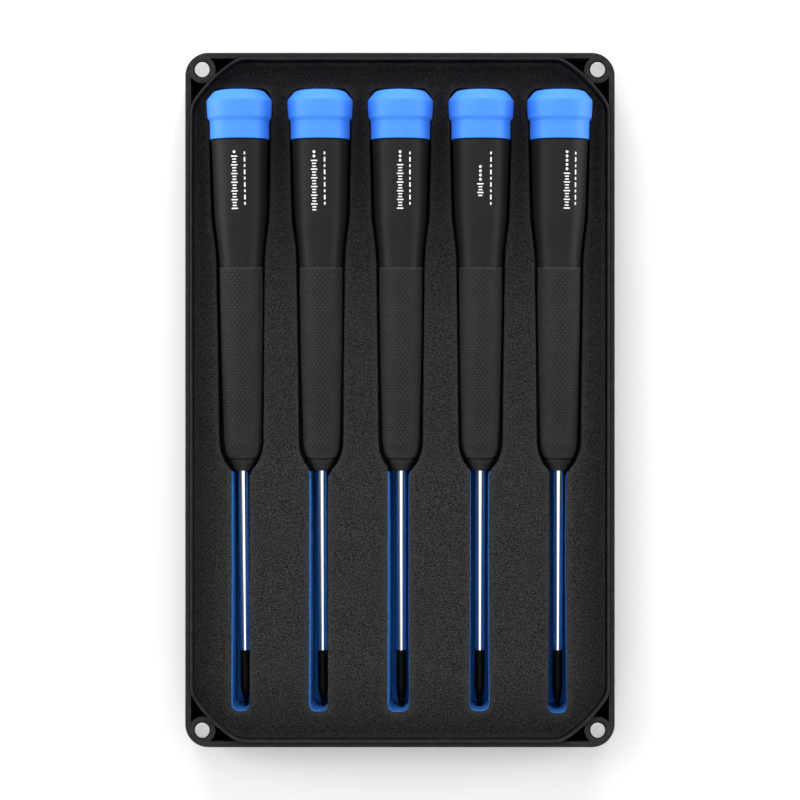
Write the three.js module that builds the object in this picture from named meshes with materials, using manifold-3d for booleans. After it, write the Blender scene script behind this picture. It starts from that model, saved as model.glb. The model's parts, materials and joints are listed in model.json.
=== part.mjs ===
// A precision screwdriver set: five drivers with free-turning caps, bedded in a two-layer foam
// insert inside a moulded tray. Millimetres, +Z up, +Y towards the caps.
// The origin is the centre of the tray's underside.
import * as THREE from "three";
import { mergeVertices } from "three/addons/utils/BufferGeometryUtils.js";
import Module from "manifold-3d";

const wasm = await Module();
wasm.setup();

// Tray: an open box with a flat rim and a raised lip that locates the lid.
const TRAY_WIDTH = 117.5;
const TRAY_LENGTH = 190;
const TRAY_CORNER = 6.3;
const FLOOR_TOP = 2;
const RIM_TOP = 16.5;
const LIP_TOP = 17.3;
const RIM_WIDTH = 1.4;
const LIP_THICKNESS = 0.6;
const RELIEF_WALL = 1.55;

// The lip cuts each corner with a wide bowed arc, blended into the straight sides.
const BOW_RADIUS = 37;
const BOW_INSET = 7.2;
const BOW_BLEND = 7;
const BOW_CENTRE = BOW_INSET + BOW_RADIUS / Math.SQRT2;

// Corner bosses, each with a disc magnet pressed into its top.
const BOSS_RADIUS = 3.65;
const BOSS_INSET = 4.65;
const MAGNET_RADIUS = 2;
const MAGNET_BORE = 2.35;
const MAGNET_HEIGHT = 2.5;
const MAGNET_RECESS = 0.1;

// Foam insert: a thin black skin on a thick blue base.
const FOAM_GAP = 0.2;
const SKIN_THICKNESS = 1.5;
const FOAM_TOP = 14.7;
const CAP_SHELF = 7.8;
const HANDLE_FLOOR = 6.3;
const SLOT_FLOOR = 5;

// Stations along a driver, measured from the end of its cap towards the tip.
const CAP_LENGTH = 13.9;
const BODY_START = 14.2;
const GRIP_START = 48.8;
const GRIP_END = 101.1;
const NOSE_END = 104.6;
const TIP_START = 154.5;
const TAPER_START = 165.2;
const TAPER_END = 168;
const DRIVER_LENGTH = 170.1;

// Fits inside a driver.
const FIT_GAP = 0.35;
const STUB_RADIUS = 6.4;
const STUB_START = 10;
const SPINDLE_RADIUS = 1.5;
const SPINDLE_END = 24;
const HEAD_RADIUS = 3;
const HEAD_START = 4;
const HEAD_END = 5.5;
const CORE_RADIUS = 3.1;
const BLADE_RADIUS = 1.4;
const SHANK_START = 75;
const WING = { start: 77, length: 6, width: 4, thickness: 0.9 };

// Where the drivers lie: the axis runs down from the cap end to the tip.
const CAP_END_Y = 85.1;
const AXIS_HEIGHT = 17.07;
const TILT = THREE.MathUtils.degToRad(3);

// One bay per driver: the driver's place and yaw, its blade slot's offset, width and far end, and the
// radius of its working tip.
const BAYS = [
  { x: -43.95, yaw: 0.4, slotShift: 0, slotWidth: 5.3, slotEnd: -85.6, tip: 0.4 },
  { x: -21.85, yaw: 0.18, slotShift: -0.7, slotWidth: 5.5, slotEnd: -85.7, tip: 0.55 },
  { x: 0.1, yaw: 0.1, slotShift: -0.55, slotWidth: 6.4, slotEnd: -85.8, tip: 0.9 },
  { x: 22.15, yaw: -0.03, slotShift: -0.15, slotWidth: 5.2, slotEnd: -85.6, tip: 0.8 },
  { x: 43.65, yaw: 0, slotShift: -0.3, slotWidth: 4.6, slotEnd: -86.1, tip: 0.8 },
];
const RECESS_FOLLOW = 0.6; // the share of a driver's yaw that its handle recess was cut with
const SLOT_CORNER = 2;

const ARC_STEPS = 2;
const LARGE_SIDES = 20;
const SMALL_SIDES = 16;

function toSolid(geometry) {
  const bare = geometry.index ? geometry.toNonIndexed() : geometry.clone();
  bare.deleteAttribute("normal");
  bare.deleteAttribute("uv");
  const merged = mergeVertices(bare, 1e-4);
  const mesh = new wasm.Mesh({
    numProp: 3,
    vertProperties: merged.attributes.position.array,
    triVerts: new Uint32Array(merged.index.array),
  });
  return new wasm.Manifold(mesh);
}

function toGeometry(solid) {
  const mesh = solid.getMesh();
  const geometry = new THREE.BufferGeometry();
  geometry.setAttribute("position", new THREE.BufferAttribute(mesh.vertProperties, 3));
  geometry.setIndex(new THREE.BufferAttribute(mesh.triVerts, 1));
  geometry.computeVertexNormals();
  return geometry;
}

function prism(shape, low, high) {
  const depth = high - low;
  const options = { depth, bevelEnabled: false, curveSegments: ARC_STEPS };
  return toSolid(new THREE.ExtrudeGeometry(shape, options).translate(0, 0, low));
}

function upright(radius, x, y, low, high) {
  const geometry = new THREE.CylinderGeometry(radius, radius, high - low, LARGE_SIDES);
  geometry.rotateX(Math.PI / 2).translate(x, y, (low + high) / 2);
  return toSolid(geometry);
}

// A turned piece on the driver's axis. Each point is [radius, station from the cap's end].
function turned(profile, sides) {
  const points = profile.map(([radius, station]) => new THREE.Vector2(radius, -station));
  return new THREE.LatheGeometry(points.reverse(), sides);
}

function roundedRectangle(inset) {
  const shape = new THREE.Shape();
  const radius = TRAY_CORNER - inset;
  for (let corner = 0; corner < 4; corner++) {
    const [x, y] = cornerPoint(corner, TRAY_CORNER);
    shape.absarc(x, y, radius, (corner * Math.PI) / 2, ((corner + 1) * Math.PI) / 2);
  }
  return shape;
}

// The point at equal distances `inset` from the two sides that meet at a corner of the tray.
function cornerPoint(corner, inset) {
  const right = corner === 0 || corner === 3 ? 1 : -1;
  const far = corner < 2 ? 1 : -1;
  return [right * (TRAY_WIDTH / 2 - inset), far * (TRAY_LENGTH / 2 - inset)];
}

// The outline that the lip, the cavity and the foam share, at a distance inside the tray's side.
function lipOutline(inset) {
  const shape = new THREE.Shape();
  const bow = BOW_RADIUS - (inset - RIM_WIDTH);
  const blend = BOW_BLEND - (inset - RIM_WIDTH);
  const across = BOW_CENTRE - inset - blend;
  const along = Math.sqrt((bow - blend) ** 2 - across ** 2);
  const turn = Math.atan2(along, across);
  for (let corner = 0; corner < 4; corner++) {
    const start = (corner * Math.PI) / 2;
    const end = start + Math.PI / 2;
    const [x, y] = cornerPoint(corner, BOW_CENTRE);
    const [cos, sin] = [Math.cos(start), Math.sin(start)];
    shape.absarc(x + across * cos - along * sin, y + across * sin + along * cos, blend, start, start + turn);
    shape.absarc(x, y, bow, start + turn, end - turn);
    shape.absarc(x + along * cos - across * sin, y + along * sin + across * cos, blend, end - turn, end);
  }
  return shape;
}

function trayGeometry() {
  const cavityInset = RIM_WIDTH + LIP_THICKNESS;
  const insideLip = prism(lipOutline(RIM_WIDTH), 0, LIP_TOP + 1);
  const reliefs = prism(roundedRectangle(RELIEF_WALL), FLOOR_TOP, LIP_TOP).subtract(insideLip);
  let tray = prism(roundedRectangle(0), 0, RIM_TOP).subtract(reliefs);
  for (let corner = 0; corner < 4; corner++) {
    const [x, y] = cornerPoint(corner, BOSS_INSET);
    tray = tray.add(upright(BOSS_RADIUS, x, y, FLOOR_TOP / 2, RIM_TOP));
    tray = tray.subtract(upright(MAGNET_BORE, x, y, magnetBottom(), LIP_TOP));
  }
  tray = tray.add(prism(lipOutline(RIM_WIDTH), FLOOR_TOP, LIP_TOP));
  return toGeometry(tray.subtract(prism(lipOutline(cavityInset), FLOOR_TOP, LIP_TOP + 1)));
}

function magnetBottom() {
  return RIM_TOP - MAGNET_RECESS - MAGNET_HEIGHT;
}

// The handle's recess in plan, with the cap's end at the origin: half width against station, tight on
// the body and easier on the grip.
function handleRecess() {
  const outline = [
    [-0.35, 6.6],
    [1, 8],
    [3, 8.8],
    [7.6, 8.8],
    [8.8, 8.35],
    [16, 8.35],
    [35.5, 7.9],
    [39, 7.4],
    [43, 6.9],
    [48, 6.6],
    [58, 6.5],
    [74, 6.3],
    [97, 6.1],
    [99.6, 5.7],
    [102.5, 4.5],
    [104, 3.1],
    [106, 2.3],
  ];
  const left = outline.map(([station, half]) => new THREE.Vector2(-half, -station));
  const right = outline.map(([station, half]) => new THREE.Vector2(half, -station));
  return new THREE.Shape([...left, ...right.reverse()]);
}

// The stretch of the recess under the cap, which is a little shallower.
function capRecess() {
  const [near, far] = [-15.5, 1];
  const half = 10;
  const corners = [[-half, near], [half, near], [half, far], [-half, far]];
  return new THREE.Shape(corners.map(([x, y]) => new THREE.Vector2(x, y)));
}

function bladeSlot(width, end) {
  const shape = new THREE.Shape();
  const half = width / 2;
  const start = CAP_END_Y - NOSE_END + 1;
  shape.moveTo(half, start);
  shape.lineTo(-half, start);
  shape.absarc(-half + SLOT_CORNER, end + SLOT_CORNER, SLOT_CORNER, Math.PI, 1.5 * Math.PI);
  shape.absarc(half - SLOT_CORNER, end + SLOT_CORNER, SLOT_CORNER, 1.5 * Math.PI, 2 * Math.PI);
  return shape;
}

// Everything that one bay takes out of the foam.
function bayCut(bay) {
  const lift = FOAM_TOP + 1;
  const underCap = prism(capRecess(), 0, CAP_SHELF);
  const handle = prism(handleRecess(), HANDLE_FLOOR, lift).subtract(underCap);
  const placed = handle.rotate([0, 0, RECESS_FOLLOW * bay.yaw]).translate([bay.x, CAP_END_Y, 0]);
  const slot = prism(bladeSlot(bay.slotWidth, bay.slotEnd), SLOT_FLOOR, lift);
  return placed.add(slot.translate([bay.x + bay.slotShift, 0, 0]));
}

function foamGeometry(low, high) {
  const outline = lipOutline(RIM_WIDTH + LIP_THICKNESS + FOAM_GAP);
  const cuts = BAYS.map(bayCut);
  const foam = cuts.reduce((solid, cut) => solid.subtract(cut), prism(outline, low, high));
  return toGeometry(foam);
}

// Blue cap: bevelled crown, wide band, stepped skirt. Inside, a socket turns on the spindle's head.
function capGeometry() {
  return turned(
    [
      [0, 0],
      [5.9, 0],
      [6.9, 0.6],
      [8.05, 1.75],
      [8.92, 3.4],
      [8.92, 4.2],
      [8.75, 7.4],
      [8.08, 8.7],
      [8.08, CAP_LENGTH - 0.3],
      [7.8, CAP_LENGTH],
      [STUB_RADIUS + FIT_GAP, CAP_LENGTH],
      [STUB_RADIUS + FIT_GAP, STUB_START - FIT_GAP],
      [SPINDLE_RADIUS + FIT_GAP, STUB_START - FIT_GAP],
      [SPINDLE_RADIUS + FIT_GAP, HEAD_END + FIT_GAP],
      [HEAD_RADIUS + FIT_GAP, HEAD_END + FIT_GAP],
      [HEAD_RADIUS + FIT_GAP, HEAD_START - FIT_GAP],
      [0, HEAD_START - FIT_GAP],
    ],
    LARGE_SIDES,
  );
}

function spindleGeometry() {
  return turned(
    [
      [0, HEAD_START],
      [HEAD_RADIUS, HEAD_START],
      [HEAD_RADIUS, HEAD_END],
      [SPINDLE_RADIUS, HEAD_END],
      [SPINDLE_RADIUS, SPINDLE_END],
      [0, SPINDLE_END],
    ],
    SMALL_SIDES,
  );
}

// Handle core: the visible upper body, the rod under the grip and the nose, moulded in one.
function coreGeometry() {
  const core = toSolid(
    turned(
      [
        [0, SPINDLE_END + FIT_GAP],
        [SPINDLE_RADIUS + FIT_GAP, SPINDLE_END + FIT_GAP],
        [SPINDLE_RADIUS + FIT_GAP, STUB_START],
        [STUB_RADIUS, STUB_START],
        [STUB_RADIUS, BODY_START],
        [7.5, BODY_START],
        [7.75, BODY_START + 0.3],
        [7.45, 21],
        [7.2, 31.8],
        [6.95, 36.5],
        [6.5, 40],
        [5.95, 45],
        [5.8, GRIP_START - 0.3],
        [CORE_RADIUS, GRIP_START - 0.3],
        [CORE_RADIUS, GRIP_END + 0.3],
        [3.6, GRIP_END + 0.3],
        [3.3, GRIP_END + 1.3],
        [2.2, NOSE_END - 0.3],
        [2.0, NOSE_END],
        [BLADE_RADIUS + FIT_GAP, NOSE_END],
        [BLADE_RADIUS + FIT_GAP, SHANK_START - FIT_GAP],
        [0, SHANK_START - FIT_GAP],
      ],
      LARGE_SIDES,
    ),
  );
  return toGeometry(core.subtract(wings(FIT_GAP)));
}

// The flattened ears that stop the shank turning in the core, or the room for them.
function wings(gap) {
  const size = [WING.width + 2 * gap, WING.length + 2 * gap, WING.thickness + 2 * gap];
  const middle = -(WING.start + WING.length / 2);
  return toSolid(new THREE.BoxGeometry(...size).translate(0, middle, 0));
}

// Rubber sleeve over the rod, slightly barrelled and rounded off towards the nose.
function gripGeometry() {
  return turned(
    [
      [CORE_RADIUS + 0.3, GRIP_START],
      [5.65, GRIP_START],
      [5.85, GRIP_START + 0.3],
      [5.8, 58],
      [5.6, 74],
      [5.0, 97.5],
      [4.6, 99.3],
      [3.7, GRIP_END],
      [CORE_RADIUS + 0.3, GRIP_END],
      [CORE_RADIUS + 0.3, GRIP_START],
    ],
    LARGE_SIDES,
  );
}

// Blade: a plain round shank with a blackened, tapered working end.
function bladeGeometry(tip) {
  const shank = toSolid(
    turned(
      [
        [0, SHANK_START],
        [BLADE_RADIUS, SHANK_START],
        [BLADE_RADIUS, TIP_START - 0.2],
        [BLADE_RADIUS - 0.05, TIP_START],
        [BLADE_RADIUS - 0.05, TAPER_START],
        [tip + 0.1, TAPER_END],
        [tip, DRIVER_LENGTH],
        [0, DRIVER_LENGTH],
      ],
      SMALL_SIDES,
    ),
  );
  return toGeometry(shank.add(wings(0)));
}

function material(color, roughness, metalness) {
  return new THREE.MeshStandardMaterial({ color, roughness, metalness });
}

function piece(name, geometry, finish) {
  const mesh = new THREE.Mesh(geometry, finish);
  mesh.name = name;
  return mesh;
}

const trayPlastic = material(0x2b2b2c, 0.6, 0);
const skinFoam = material(0x262627, 0.95, 0);
const baseFoam = material(0x1c56a8, 0.9, 0);
const magnetMetal = material(0xd8d8d6, 0.35, 1);
const bodyPlastic = material(0x2e2e2f, 0.55, 0);
const gripRubber = material(0x29292a, 0.8, 0);
const capPlastic = material(0x2f86ff, 0.45, 0);
const chrome = material(0xdfe2e6, 0.15, 1);
const steel = material(0x9da0a4, 0.4, 1);

const set = new THREE.Group();

set.add(piece("tray", trayGeometry(), trayPlastic));
set.add(piece("foam_base", foamGeometry(FLOOR_TOP, FOAM_TOP - SKIN_THICKNESS), baseFoam));
set.add(piece("foam_top", foamGeometry(FOAM_TOP - SKIN_THICKNESS, FOAM_TOP), skinFoam));

for (let corner = 0; corner < 4; corner++) {
  const geometry = new THREE.CylinderGeometry(MAGNET_RADIUS, MAGNET_RADIUS, MAGNET_HEIGHT, LARGE_SIDES);
  const magnet = piece(`magnet_${corner + 1}`, geometry.rotateX(Math.PI / 2), magnetMetal);
  const [x, y] = cornerPoint(corner, BOSS_INSET);
  magnet.position.set(x, y, magnetBottom() + MAGNET_HEIGHT / 2);
  set.add(magnet);
}

BAYS.forEach((bay, index) => {
  const number = index + 1;
  const driver = new THREE.Group();
  driver.position.set(bay.x, CAP_END_Y, AXIS_HEIGHT);
  driver.rotation.set(TILT, 0, THREE.MathUtils.degToRad(bay.yaw), "ZXY");
  driver.add(
    piece(`cap_${number}`, capGeometry(), capPlastic),
    piece(`cap_spindle_${number}`, spindleGeometry(), steel),
    piece(`handle_core_${number}`, coreGeometry(), bodyPlastic),
    piece(`grip_sleeve_${number}`, gripGeometry(), gripRubber),
    piece(`blade_${number}`, bladeGeometry(bay.tip), chrome),
  );
  set.add(driver);
});

export default set;
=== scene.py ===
"""Finished look of a precision screwdriver set: five drivers with turning caps in a foam-lined tray.

Shapes are worked out in millimetres and scaled once, when a mesh is made. The scene is in metres.
"""

import json
import math

import bpy
import numpy as np
from mathutils import Matrix, Vector, noise
from mathutils.geometry import delaunay_2d_cdt


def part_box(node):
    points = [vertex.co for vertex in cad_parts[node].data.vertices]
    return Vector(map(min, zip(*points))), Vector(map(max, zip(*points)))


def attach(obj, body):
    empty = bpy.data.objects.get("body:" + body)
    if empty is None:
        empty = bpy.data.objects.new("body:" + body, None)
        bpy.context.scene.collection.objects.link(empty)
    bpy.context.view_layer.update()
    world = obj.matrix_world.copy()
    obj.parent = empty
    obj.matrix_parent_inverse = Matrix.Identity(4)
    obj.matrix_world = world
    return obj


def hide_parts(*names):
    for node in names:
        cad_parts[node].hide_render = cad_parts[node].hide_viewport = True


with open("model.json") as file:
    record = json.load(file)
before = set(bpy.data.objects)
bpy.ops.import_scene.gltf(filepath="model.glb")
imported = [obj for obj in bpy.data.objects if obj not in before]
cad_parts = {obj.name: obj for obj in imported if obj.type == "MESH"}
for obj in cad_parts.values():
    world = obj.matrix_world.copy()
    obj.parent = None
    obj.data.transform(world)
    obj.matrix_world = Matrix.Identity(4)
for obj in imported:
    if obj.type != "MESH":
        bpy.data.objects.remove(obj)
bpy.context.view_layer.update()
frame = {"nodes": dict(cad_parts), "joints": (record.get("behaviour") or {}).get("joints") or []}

MM = 0.001

# Tray, from its packed box and the section it was moulded with.
tray_low, tray_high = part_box("tray")
TRAY_WIDTH = (tray_high.x - tray_low.x) / MM
TRAY_LENGTH = (tray_high.y - tray_low.y) / MM
LIP_TOP = tray_high.z / MM
RIM_TOP = LIP_TOP - 0.8
TRAY_CORNER = 6.3
FLOOR_TOP = 2
RIM_WIDTH = 1.4
LIP_THICKNESS = 0.6
LIP_LAND = 0.14
RELIEF_WALL = 1.55
FOOT_ROUND = 0.7
EDGE_ROUND = 0.28
# Fillets tighter than this take the pale edge tone: part wear, part painted highlight.
PALE_EDGE_FILLET = 0.6

# The lip cuts each corner with a wide bowed arc, blended into the straight sides.
BOW_RADIUS = 37
BOW_INSET = 7.2
BOW_BLEND = 7
BOW_CENTRE = BOW_INSET + BOW_RADIUS / math.sqrt(2)

# Corner bosses and the magnets in them.
BOSS_RADIUS = 3.65
BOSS_INSET = 4.65
MAGNET_RADIUS = 2.12
MAGNET_BORE = 2.35
magnet_low, magnet_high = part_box("magnet_1")
MAGNET_BOTTOM = magnet_low.z / MM
MAGNET_TOP = magnet_high.z / MM

# Foam: a black skin on a blue base. The skin turns down and lines the handle pockets in black as painted
# shade, where the blue sits in shade.
FOAM_GAP = 0.2
FOAM_INSET = RIM_WIDTH + LIP_THICKNESS + FOAM_GAP
FOAM_SHIFT = (-0.12, -0.1)
skin_low, skin_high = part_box("foam_top")
FOAM_TOP = skin_high.z / MM
SKIN_BOTTOM = skin_low.z / MM
BASE_TOP = SKIN_BOTTOM - 0.02
SHADE_LINER_THICKNESS = 0.3
SHADE_LINER_BOTTOM = 6.7
CAP_SHADE_LINER_BOTTOM = 8.1
FOAM_ROUND = 0.3
SLOT_FLOOR = 5
HANDLE_FLOOR = 6.3
CAP_SHELF = 7.8
CAP_SHELF_LENGTH = 15.8
CAP_SHELF_STEP = 0.6
NOSE_STEP = 0.4
SLOT_CORNER = 2
FLARE_START_Y = -50
GROOVE_DEPTH = 0.9
FULL_SHOULDER = 0.045
CUT_WAVER, CUT_WAVE_LENGTH = 0.07, 3.5
GRAIN_RELIEF = 0.05
GRAIN_LONG_WAVE, GRAIN_SHORT_WAVE = 11, 3

# Stations along a driver, measured from the end of its cap towards the tip.
CAP_LENGTH = 13.9
BODY_START = 14.2
GRIP_START = 48.8
GRIP_END = 101.1
NOSE_END = 104.6
TIP_START = 154.5
TAPER_START = 165.4
TAPER_END = 167.7
TIP_END = 170.1
FIT_GAP = 0.35
BODY_RADIUS = 7.72
STUB_RADIUS = 6.4
STUB_START = 10
SPINDLE_RADIUS = 1.5
SPINDLE_END = 24
HEAD_RADIUS = 3
HEAD_START = 4
HEAD_END = 5.5
CORE_RADIUS = 3.1
BLADE_RADIUS = 1.4
SHANK_START = 75
EAR_START, EAR_END = 77, 83
EAR_HALF_WIDTH, EAR_HALF_THICKNESS = 2, 0.45
CAP_END_Y = 85.1
RECESS_FOLLOW = 0.6

# Taper of the handle body behind its start: [radius, station, fillet].
BODY_TAPER = [(7.6, 17, 1.5), (7.45, 21, 2), (7.2, 31.8, 3), (6.93, 36.5, 2.2)]

# Diamond knurl of the grip. The flank is the share of a diamond that slopes.
KNURL_START, KNURL_END = 49.2, 100.2
KNURL_FADE_IN, KNURL_FADE_OUT = 0.8, 1.5
KNURL_ROUND = 28
KNURL_PITCH = 1.62
KNURL_DEPTH = 0.27
KNURL_FLANK = 0.62
KNURL_SAMPLES = 6
# How much paler the sleeve's edge at the grip's start is painted: a painted highlight.
SEAM_PAINTED_HIGHLIGHT = 2.5

# Print on the handle body: a scale that starts with the driver's number in dots, and a row of dashes.
SCALE_SPAN = (17, 33.5)
SHORT_SCALE_SPAN = (21, 29.5)
SHORT_SCALE_DRIVER = 4
DOT_SIZE, DOT_STEP = 0.75, 1.15
TICK_WIDTH, TICK_STEP = 0.34, 0.78
LONG_TICK, SHORT_TICK = 1.8, 1.15
DASH_ROW_START = 17.6
DASH_COUNT = 9
DASH_WIDTH, DASH_GAP = 0.42, 0.62
DASH_LENGTHS = (0.8, 1.35)
INK_HEIGHT, INK_SUNK = 0.022, -0.06

# One bay per driver: yaw in degrees; the blade slot's offset, width, far end and how much wider it gets
# there; how far the blue shows under the skin along the slot's left and right; how far the slot's walls
# lean; the working tip's radius behind and at its end, its lobes and their depth; and how far to the
# right of the axis its two printed rows sit.
BAYS = [
    {
        "yaw": 0.4, "slot": (0.12, 5.05, -85.6, 0.2), "shoulder": (0.45, 0), "lean": (0.7, 0),
        "tip": (0.68, 0.4, 5, 0.2), "rows": (-1.0, 1.8),
    },
    {
        "yaw": 0.18, "slot": (-0.58, 5.25, -85.7, 0.1), "shoulder": (0.5, 0), "lean": (0.8, 0),
        "tip": (0.82, 0.5, 5, 0.2), "rows": (-1.45, 1.4),
    },
    {
        "yaw": 0.1, "slot": (-0.55, 5.9, -85.8, 0.2), "shoulder": (0.5, 0.1), "lean": (0.8, 0.2),
        "tip": (1.02, 0.76, 5, 0.24), "rows": (-0.1, 2.6),
    },
    {
        "yaw": -0.03, "slot": (-0.3, 5.25, -85.6, 0.35), "shoulder": (0.25, 0.2), "lean": (0.3, 0.1),
        "tip": (0.84, 0.64, 6, 0.2), "rows": (-0.4, 2.5),
    },
    {
        "yaw": 0, "slot": (-0.3, 4.6, -86.1, 0.85), "shoulder": (0.12, 0.05), "lean": (0.1, 0.1),
        "tip": (1.02, 0.74, 3, 0.3), "rows": (1.5, 4.1),
    },
]
END_LEAN = 1.0

# Handle pocket in plan: [station, half width].
HANDLE_POCKET = [
    [-0.35, 6.6],
    [1, 8],
    [3, 8.8],
    [7.6, 8.8],
    [8.8, 8.35],
    [16, 8.35],
    [35.5, 7.9],
    [39, 7.4],
    [43, 6.9],
    [48, 6.6],
    [58, 6.5],
    [74, 6.3],
    [97, 6.1],
    [99.6, 5.7],
    [102.5, 4.5],
    [104, 3.1],
    [106, 2.3],
]


# -------- outlines in plan


def corner_point(corner, inset):
    """The point at equal distances from the two sides that meet at a corner of the tray."""
    right = 1 if corner in (0, 3) else -1
    far = 1 if corner < 2 else -1
    return right * (TRAY_WIDTH / 2 - inset), far * (TRAY_LENGTH / 2 - inset)


def arc(x, y, radius, start, end, spacing=0.3):
    """Points along part of a circle, between two angles."""
    count = max(3, math.ceil(abs(end - start) * radius / spacing))
    angles = [start + (end - start) * i / count for i in range(count + 1)]
    return [(x + radius * math.cos(a), y + radius * math.sin(a)) for a in angles]


def circle(x, y, radius, count=48):
    angles = [2 * math.pi * i / count for i in range(count)]
    return [(x + radius * math.cos(a), y + radius * math.sin(a)) for a in angles]


def rounded_rectangle(inset):
    points = []
    for corner in range(4):
        x, y = corner_point(corner, TRAY_CORNER)
        points += arc(x, y, TRAY_CORNER - inset, corner * math.pi / 2, (corner + 1) * math.pi / 2)
    return points


def lip_outline(inset):
    """The outline that the lip, the cavity and the foam share, at a distance inside the tray's side."""
    bow = BOW_RADIUS - (inset - RIM_WIDTH)
    blend = BOW_BLEND - (inset - RIM_WIDTH)
    across = BOW_CENTRE - inset - blend
    along = math.sqrt((bow - blend) ** 2 - across**2)
    turn = math.atan2(along, across)
    points = []
    for corner in range(4):
        start = corner * math.pi / 2
        end = start + math.pi / 2
        x, y = corner_point(corner, BOW_CENTRE)
        c, s = math.cos(start), math.sin(start)
        points += arc(x + across * c - along * s, y + across * s + along * c, blend, start, start + turn)
        points += arc(x, y, bow, start + turn, end - turn, 0.6)[1:-1]
        points += arc(x + along * c - across * s, y + along * s + across * c, blend, end - turn, end)
    return points


def resampled(points, spacing):
    """A closed outline with points at even steps no longer than spacing."""
    dense = []
    for i, (x, y) in enumerate(points):
        nx, ny = points[(i + 1) % len(points)]
        count = max(1, math.ceil(math.hypot(nx - x, ny - y) / spacing))
        dense += [(x + (nx - x) * k / count, y + (ny - y) * k / count) for k in range(count)]
    return dense


def relaxed(points, passes):
    """A closed outline with its corners worn round."""
    for _ in range(passes):
        count = len(points)
        points = [
            (
                (points[i - 1][0] + 2 * points[i][0] + points[(i + 1) % count][0]) / 4,
                (points[i - 1][1] + 2 * points[i][1] + points[(i + 1) % count][1]) / 4,
            )
            for i in range(count)
        ]
    return points


def turned_left(points):
    """The outline in anticlockwise order."""
    area = sum(
        points[i - 1][0] * points[i][1] - points[i][0] * points[i - 1][1] for i in range(len(points))
    )
    return points if area > 0 else points[::-1]


def outward(points):
    """For each point of an anticlockwise outline, the way out, scaled so that sides keep their distance."""
    count = len(points)
    ways = []
    for i, (x, y) in enumerate(points):
        ax, ay = x - points[i - 1][0], y - points[i - 1][1]
        bx, by = points[(i + 1) % count][0] - x, points[(i + 1) % count][1] - y
        a, b = math.hypot(ax, ay) or 1, math.hypot(bx, by) or 1
        n1, n2 = (ay / a, -ax / a), (by / b, -bx / b)
        share = max(0.3, 1 + n1[0] * n2[0] + n1[1] * n2[1])
        ways.append(((n1[0] + n2[0]) / share, (n1[1] + n2[1]) / share))
    return ways


def grown(points, amount):
    """The outline moved outwards. amount is one number, or one for each point."""
    amounts = amount if isinstance(amount, list) else [amount] * len(points)
    ways = outward(points)
    return [(x + wx * d, y + wy * d) for (x, y), (wx, wy), d in zip(points, ways, amounts)]


def relief_pocket():
    """One of the two pockets beside a corner boss, as distances from the corner's two sides."""
    lip = lip_outline(RIM_WIDTH - LIP_LAND)
    near = [(TRAY_WIDTH / 2 - x, TRAY_LENGTH / 2 - y) for x, y in lip if x > 0 and y > 0]
    along_lip = [
        (u, v)
        for u, v in near
        if u > v > RELIEF_WALL and math.hypot(u - BOSS_INSET, v - BOSS_INSET) > BOSS_RADIUS
    ]
    last_u = next(u for u, v in near if u > v and v <= RELIEF_WALL)
    u, v = along_lip[0]
    wall_angle = -math.asin((BOSS_INSET - RELIEF_WALL) / BOSS_RADIUS)
    lip_angle = math.atan2(v - BOSS_INSET, u - BOSS_INSET)
    boss = arc(BOSS_INSET, BOSS_INSET, BOSS_RADIUS, wall_angle, lip_angle)
    return relaxed(resampled(along_lip + [(last_u, RELIEF_WALL)] + boss, 0.2), 5)


def relief_pockets():
    pocket = relief_pocket()
    outlines = []
    for corner in range(4):
        x, y = corner_point(corner, 0)
        right, far = math.copysign(1, x), math.copysign(1, y)
        outlines.append([(x - right * u, y - far * v) for u, v in pocket])
        outlines.append([(x - right * v, y - far * u) for u, v in pocket])
    return [turned_left(outline) for outline in outlines]


def table_value(table, at):
    """Straight-line reading of a table of [place, value] rows."""
    for (a, va), (b, vb) in zip(table, table[1:]):
        if at <= b:
            return va + (vb - va) * max(0, at - a) / (b - a)
    return table[-1][1]


def bay_outline(bay):
    """The cut in the foam for one driver: its handle pocket, running on into its blade slot."""
    turn = math.radians(RECESS_FOLLOW * bay["yaw"])
    shift, width, end, flare = bay["slot"]
    left_wall = bay["x"] + shift - width / 2
    right_wall = left_wall + width
    left_end, right_end = left_wall - flare / 2, right_wall + flare / 2

    def placed(side, station):
        offset = side * table_value(HANDLE_POCKET, station)
        x = bay["x"] + offset * math.cos(turn) + station * math.sin(turn)
        return x, CAP_END_Y + offset * math.sin(turn) - station * math.cos(turn)

    first, last = HANDLE_POCKET[0][0], HANDLE_POCKET[-1][0]
    steps = [first + (last - first) * i / 400 for i in range(401)]
    left = [p for p in (placed(-1, s) for s in steps) if p[0] < left_wall or p[1] > -10]
    right = [p for p in (placed(1, s) for s in steps) if p[0] > right_wall or p[1] > -10]
    bottom = arc(left_end + SLOT_CORNER, end + SLOT_CORNER, SLOT_CORNER, math.pi, 1.5 * math.pi)
    bottom += arc(right_end - SLOT_CORNER, end + SLOT_CORNER, SLOT_CORNER, 1.5 * math.pi, 2 * math.pi)
    left += [(left_wall, left[-1][1]), (left_wall, FLARE_START_Y)]
    right += [(right_wall, right[-1][1]), (right_wall, FLARE_START_Y)]
    outline = left + bottom + right[::-1]
    return relaxed(resampled(outline, 0.45), 3)


def cut_outline(bay):
    """The outline of a bay with the slight waver of a die cut."""
    points = bay_outline(bay)
    step = CUT_WAVE_LENGTH
    waver = [CUT_WAVER * noise.noise(Vector((x / step, y / step, 0.5))) for x, y in points]
    return grown(points, waver)


# -------- mesh making


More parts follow.
